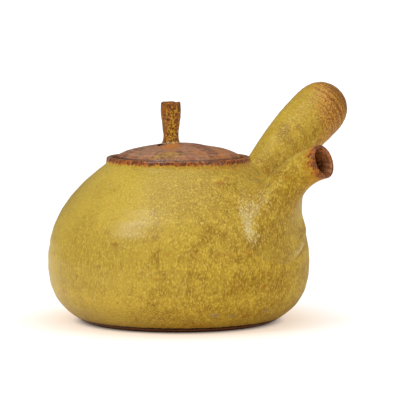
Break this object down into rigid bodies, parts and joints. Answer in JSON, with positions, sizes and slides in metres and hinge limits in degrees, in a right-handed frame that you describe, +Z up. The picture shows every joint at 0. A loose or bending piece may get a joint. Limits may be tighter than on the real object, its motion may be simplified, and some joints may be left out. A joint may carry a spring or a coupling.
{
  "type": "side-handled teapot",
  "caption": "Rounded stoneware teapot with a short spout, a hollow side handle, a clay strainer behind the spout and a domed loose lid with a tall knob.",
  "frame": {"origin": "centre of the foot ring, on the table", "axes": "+X the way the spout points, +Z up along the pot's axis; the handle points 81 degrees from +X towards +Y"},
  "size_m": [0.138, 0.1655, 0.1045],
  "materials": {
    "ochre_glaze": "satin ochre ash glaze, streaked",
    "iron_glaze": "satin iron-brown glaze, thin over the clay",
    "bare_clay": "unglazed fired stoneware"
  },
  "bodies": {
    "pot": {"pot_body": "ochre_glaze", "spout": "ochre_glaze", "spout_strainer": "bare_clay", "handle": "ochre_glaze"},
    "lid": {"lid": "iron_glaze", "lid_flange": "bare_clay", "lid_knob": "iron_glaze"}
  },
  "joints": [
    {"name": "lid_lift", "type": "slide", "parent": "pot", "child": "lid", "axis": [0, 0, 1], "range_m": [0, 0.06]}
  ]
}
